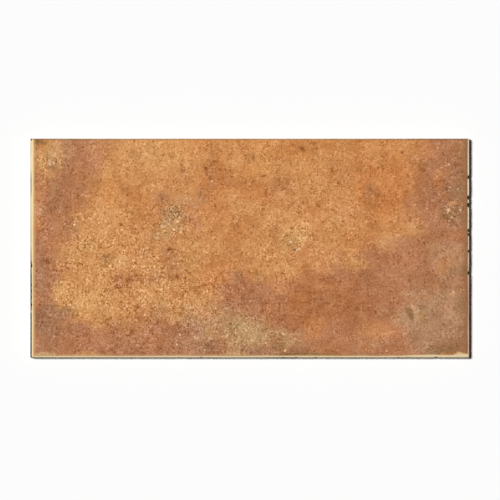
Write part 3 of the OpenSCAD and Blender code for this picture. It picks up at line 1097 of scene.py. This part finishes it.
def bare_body(where, grit, look):
    """The unglazed clay of the walls and the back: flashed pink by the fire, dusty on the ribs,
    darkened in the keys by dirt and painted shade.
    """
    height = where.part("Z")
    clay = laid_over(look.cream, look.biscuit,
                     ramp(cloud(where, 5 * MM, 4.0, 0.65, seed=51.0), 0.40, 0.72))
    clay = laid_over(clay, look.blush, spots(where, 34 * MM, 0.6, 53.0, 0.38, 0.66) * look.flashed)
    # the ribs lie lowest, and the keys between the ribs and the plain walls
    ribs = smooth(height, 0.35 * MM, 0.10 * MM)
    keys = ribs * -1.0 + smooth(height, 1.2 * MM, 1.0 * MM)
    clay = laid_over(clay, look.chalk_and_highlight,
                     ribs * spots(where, 9 * MM, 0.7, 54.0, 0.42, 0.62) * look.dusted)
    # the keys darken in patches: dirt, and painted shade in their hollows
    clay = laid_over(clay, look.grime_and_shade,
                     keys * spots(where, 7 * MM, 0.7, 55.0, 0.40, 0.75) * look.key_dirt_and_shade)
    # the seam that the die leaves is dirty here and there
    seam = smooth(calc("ABSOLUTE", height - PARTING), 0.30 * MM, 0.05 * MM)
    scuffed = spots(where, 12 * MM, 0.7, 56.0, 0.40, 0.66)
    clay = laid_over(clay, look.grime_and_shade, seam * scuffed * look.seam_dirt)
    clay = speckled(clay, grit, look.body_grain)
    far_off, lot = grains(where, 2.2 * MM)
    iron = smooth(far_off, 0.22, 0.10) * smooth(lot, 0.74, 0.80)
    return laid_over(clay, look.rust, iron * look.iron)


def mottled(tone, plan, look):
    """Cloudy mottling over a tone: light and dark, olive and salmon. Gives back the clouds too."""
    clouds = cloud(plan, 24 * MM, 6.0, 0.70, seed=31.0)
    tone = speckled(tone, clouds, look.clouding)
    hue = cloud(plan, 12 * MM, 4.0, 0.65, seed=32.0)
    tone = laid_over(tone, look.olive, ramp(hue, 0.54, 0.74) * look.tinting)
    return laid_over(tone, look.salmon, ramp(hue, 0.48, 0.28) * look.tinting), clouds


def sanded(tone, plan):
    """Sandy grain in several sizes, stronger in some places than in others, over a tone.

    Gives back the noise of the middling grain too, for the bumps of the glaze.
    """
    calm = ramp(cloud(plan, 8 * MM, 2.0, seed=35.0), 0.35, 0.62)
    sandy = (0.42 + calm * 0.66) * (0.92 + sum_of(amounts_at(plan, GRAINY)))
    tone = speckled(tone, cloud(plan, 7 * MM, 1.0, seed=38.0), 0.24)
    tone = speckled(tone, cloud(plan, 3.4 * MM, 1.0, seed=36.0), sandy * 0.36)
    sand = cloud(plan, 1.6 * MM, 1.0, seed=33.0)
    tone = speckled(tone, sand, sandy * 0.70)
    tone = speckled(tone, cloud(plan, 0.85 * MM, 0.0, seed=34.0), sandy * 0.58)
    for grain, size, seed, strength in ((DARK_GRAIN, 2.6 * MM, 37.0, 0.92),
                                        (LIGHT_GRAIN, 2.4 * MM, 39.0, 0.85)):
        tone = laid_over(tone, grain, strokes(plan, size, seed) * sandy * strength, "MULTIPLY")
    return tone, sand


def pitted(tone, plan, ragged, look):
    """Dark specks, white flecks, bright spots and the shade of the pits over a tone."""
    far_off, lot = grains(ragged, 2.6 * MM)
    specks = smooth(far_off, 0.30, 0.14) * smooth(lot, 0.66, 0.70)
    tone = laid_over(tone, DARK_GRAIN, specks * look.speckling, "MULTIPLY")
    strewn = highest(*amounts_at(plan, FLECKS))
    far_off, lot = grains(ragged, 1.7 * MM)
    flecks = smooth(far_off, 0.40, 0.18) * smooth(lot + strewn * 0.55, 0.95, 1.05)
    tone = laid_over(tone, look.pearl, flecks * look.flecking)
    for mark in BRIGHT_SPOTS:
        tone = laid_over(tone, look.pearl, pit_shape(plan, mark) * mark.amount)
    pits = highest(*(pit_shape(ragged, mark) for mark in PITS))
    return laid_over(tone, DARK_GRAIN, pits * look.pit_shade, "MULTIPLY")


def banded(tone, plan, wander, look):
    """The bands just inside the worn arris, over a tone: discoloured glaze, and on the right painted
    shade where the edge turns from the lamp.
    """
    for side in SIDES:
        inside = inset_from(side, plan) + wander * 3.0 * MM
        band = smooth(inside, side.band_to, side.band_from) * side.band_strength
        tone = laid_over(tone, getattr(look, side.band_tone), band)
    return tone


def glaze_reach(plan, height, look):
    """Where the glaze is thick, and how far it covers: it has run down the wall here and there."""
    drips = cloud(plan, 5 * MM, 3.0, 0.6, seed=42.0) - 0.5
    thick = smooth(height + drips * 5 * MM, THICKNESS - 2.2 * MM, THICKNESS - 1.6 * MM)
    spilt = smooth(height + drips * 9 * MM, THICKNESS - 4.6 * MM, THICKNESS - 3.2 * MM)
    spilt = spilt * smooth(cloud(plan, 24 * MM, 3.0, seed=44.0), 0.44, 0.58) * look.run_down
    return thick, highest(thick, spilt)


HALF_FADE = 0.15 * MM  # half the width over which the worn arris fades into the glaze


def worn_arris(colour, where, plan, height, wander, look):
    """The bare arris over a colour, with its dark outermost line and its dark chips: dirt on the left,
    painted shade and painted shadow where the edge turns from the lamp, and a painted highlight on the
    right arris.
    """
    upper = smooth(height, THICKNESS - 2.6 * MM, THICKNESS - 1.5 * MM)
    for side in SIDES:
        wider, flushed = (sum_of(amounts_at(plan, marks_on(side, listed)))
                          for listed in (WIDER, FLUSHED))
        inside = inset_from(side, plan) + wander * 1.2 * MM - wider
        worn = smooth(inside, side.cream + HALF_FADE, side.cream - HALF_FADE)
        # on the right the bare tone is chalk white, partly a painted highlight
        bare = getattr(look, side.bare_tone)
        if marks_on(side, FLUSHED):
            bare = laid_over(bare, look.flush, flushed)
        colour = laid_over(colour, bare, worn * upper)
    # the outermost line darkens: dirt on the left and far sides, painted shade on the right and near
    # sides
    patchy = spots(where, 5 * MM, 0.7, 43.0, 0.26, 0.45)
    rim_darkness = highest(*amounts_at(plan, RIM_DIRT_AND_SHADE))
    outermost = highest(*(smooth(inset_from(side, plan), side.darkening * 1.3, side.darkening * 0.7)
                          for side in SIDES))
    colour = laid_over(colour, look.grime_and_shade, outermost * upper * patchy * rim_darkness)
    # the chips go near black: dirt on the left, painted shadow in the notches on the right
    chips = highest(*(chip_shape(where, mark) for mark in CHIPS))
    return laid_over(colour, look.chip_dirt_and_shadow, smooth(chips, 0.15, 0.50) * look.darkened)


def worn_glaze(look):
    """The tile's one material: mottled glaze on the face, bare cream body where there is none."""
    material = bpy.data.materials.new("worn_glaze")
    tree = emptied(material)
    where = Wire(tree, tree.nodes.new("ShaderNodeTexCoord").outputs["Object"])
    plan, height = flattened(where), where.part("Z")

    group = patch_group()
    tone = broad_tones(plan, group, look)
    ragged = frayed(plan)
    tone = patched(tone, ragged, MOTTLES + STAINS, group, look)
    tone, clouds = mottled(tone, plan, look)
    tone, sand = sanded(tone, plan)
    tone = pitted(tone, plan, ragged, look)
    wander = cloud(plan, 20 * MM, 5.0, 0.70, seed=41.0) - 0.5
    tone = banded(tone, plan, wander, look)
    tone = patched(tone, frayed(plan, FINE_FRAY), SCRATCHES, group, look)
    grit = cloud(where, 1.0 * MM, 2.0, 0.6, seed=52.0)
    glazed, covered = glaze_reach(plan, height, look)
    colour = laid_over(bare_body(where, grit, look), tone, covered)
    colour = worn_arris(colour, where, plan, height, wander, look)

    rough = look.roughness - glazed * look.gloss + (clouds - 0.5) * 0.3
    bump = put(tree, "ShaderNodeBump", {"Height": grit + (sand - grit) * glazed,
                                        "Distance": look.grain_height, "Strength": 0.5},
               out="Normal")
    shader = put(tree, "ShaderNodeBsdfPrincipled",
                 {"Base Color": colour, "Roughness": rough, "Normal": bump,
                  "Specular IOR Level": 0.15})
    shown(tree, "ShaderNodeOutputMaterial", shader)
    return material


# ------------------------------------------------------------------ the operators

def pressed_shell(sizes, material):
    """The blank as it leaves the die, open at the back."""
    section = edge_section(sizes)
    line = bpy.data.meshes.new("edge_section")
    line.from_pydata([(inset, 0, height) for inset, height in section], [], [])
    line = object_of("edge_section", line)
    lines_along, lines_across = (
        round((run - 2 * sizes.ease_width) / sizes.mesh_step) + 1 + 2 * RIM_STEP
        for run in (LENGTH, WIDTH))
    shell = grown(blank_tree(), {
        "Length": LENGTH, "Width": WIDTH, "Corner": sizes.corner_radius,
        "Lines_Along": lines_along, "Lines_Across": lines_across,
        "Rows": len(section) - RIM_STEP, "Rim": RIM_STEP, "Section": line, "Material": material})
    discard(line)
    return shell


def keyed_field(sizes, material):
    """All the keys of the back and the ribs between them."""
    key = object_of("mortar_key", key_cell(sizes))
    (count_along, count_across), (step_along, step_across) = key_counts(sizes), key_steps(sizes)
    keys = grown(keys_tree(), {
        "Count_Along": count_along, "Count_Across": count_across, "Step_Along": step_along,
        "Step_Across": step_across, "Weld": sizes.weld, "Key": key, "Material": material})
    discard(key)
    return keys


class TILE_OT_make_tile(Operator):
    """Press, wear and glaze the trim tile"""
    bl_idname = "tile.make_tile"
    bl_label = "Make the tile"

    def execute(self, context):
        scene = context.scene
        sizes, wear = scene.tile_section, scene.tile_wear
        material = worn_glaze(scene.tile_glaze)
        body = stitched(pressed_shell(sizes, material), keyed_field(sizes, material), sizes)
        worn = grown(relief_tree(), {
            "Thickness": THICKNESS, "Heave": wear.heave, "Dapple": wear.dapple,
            "Nibble": wear.nibble, "Grit": wear.grit, "Material": material}, start=body)
        worn.name = "trim_tile"
        worn.shade_smooth()
        worn.set_sharp_from_angle(angle=wear.crease)
        tile = object_of("trim_tile", worn)
        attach(tile, "root")
        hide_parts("tile")
        return {"FINISHED"}


CLIP_END = 100  # how far the camera sees, in metres


class TILE_OT_set_stage(Operator):
    """Lay the pale floor, hang the lamps and set the camera above the tile"""
    bl_idname = "tile.set_stage"
    bl_label = "Set the stage"

    def execute(self, context):
        studio, scene = context.scene.tile_studio, context.scene
        scene.view_settings.view_transform = "Standard"
        self.lay_floor(studio)
        self.light(scene, studio)
        self.place_camera(scene, studio)
        return {"FINISHED"}

    def lay_floor(self, studio):
        half = studio.floor_size / 2
        mesh = bpy.data.meshes.new("floor")
        mesh.from_pydata([(-half, -half, 0), (half, -half, 0), (half, half, 0), (-half, half, 0)],
                         [], [(0, 1, 2, 3)])
        paint = bpy.data.materials.new("pale_floor")
        tree = emptied(paint)
        seen = Wire(tree, tree.nodes.new("ShaderNodeLightPath").outputs["Is Camera Ray"])
        coat = laid_over(studio.floor_glow, studio.floor, seen)
        shown(tree, "ShaderNodeOutputMaterial", put(tree, "ShaderNodeBsdfDiffuse", {"Color": coat}))
        mesh.materials.append(paint)
        object_of("floor", mesh)

    def light(self, scene, studio):
        sun = bpy.data.lights.new("key_lamp", "SUN")
        toward = Vector(studio.sun_from).normalized()
        sun.energy = math.pi * (1 - studio.fill) / toward.z
        sun.angle = studio.sun_size
        lamp = bpy.data.objects.new("key_lamp", sun)
        lamp.rotation_euler = toward.to_track_quat("Z", "Y").to_euler()
        scene.collection.objects.link(lamp)

        world = bpy.data.worlds.new("studio_air")
        tree = emptied(world)
        rays = Wire(tree, tree.nodes.new("ShaderNodeLightPath").outputs["Is Camera Ray"])
        seen = highest(rays, rays.other("Is Glossy Ray"), rays.other("Is Transmission Ray"))
        strength = seen * (1.0 - studio.fill) + studio.fill
        air = put(tree, "ShaderNodeBackground", {"Color": (1, 1, 1), "Strength": strength})
        shown(tree, "ShaderNodeOutputWorld", air)
        scene.world = world

    def place_camera(self, scene, studio):
        camera = bpy.data.cameras.new("camera")
        camera.lens = studio.lens
        camera.clip_end = CLIP_END
        seen = LENGTH / (1 - studio.margin)
        eye = bpy.data.objects.new("camera", camera)
        eye.location = (studio.aside, -studio.rise,
                        THICKNESS + seen * camera.lens / camera.sensor_width)
        scene.collection.objects.link(eye)
        scene.camera = eye


class TILE_PT_panel(Panel):
    """Lists what makes the tile and its stage"""
    bl_label = "Rustic trim tile"
    bl_idname = "TILE_PT_panel"
    bl_space_type = "VIEW_3D"
    bl_region_type = "UI"
    bl_category = "Tile"

    def draw(self, context):
        column = self.layout.column()
        for operator in (TILE_OT_make_tile, TILE_OT_set_stage):
            column.operator(operator.bl_idname)
        for name in GROUPS:
            group = getattr(context.scene, name)
            box = column.box()
            for setting in type(group).__annotations__:
                box.prop(group, setting)


GROUPS = {"tile_section": TileSection, "tile_wear": TileWear, "tile_glaze": GlazeLook,
          "tile_studio": StudioLook}
CLASSES = (*GROUPS.values(), TILE_OT_make_tile, TILE_OT_set_stage, TILE_PT_panel)


def register():
    for kind in CLASSES:
        bpy.utils.register_class(kind)
    for name, kind in GROUPS.items():
        setattr(bpy.types.Scene, name, PointerProperty(type=kind))


def unregister():
    for name in GROUPS:
        delattr(bpy.types.Scene, name)
    for kind in reversed(CLASSES):
        bpy.utils.unregister_class(kind)


def main():
    register()
    bpy.ops.tile.make_tile()
    bpy.ops.tile.set_stage()


if __name__ == "__main__":
    main()
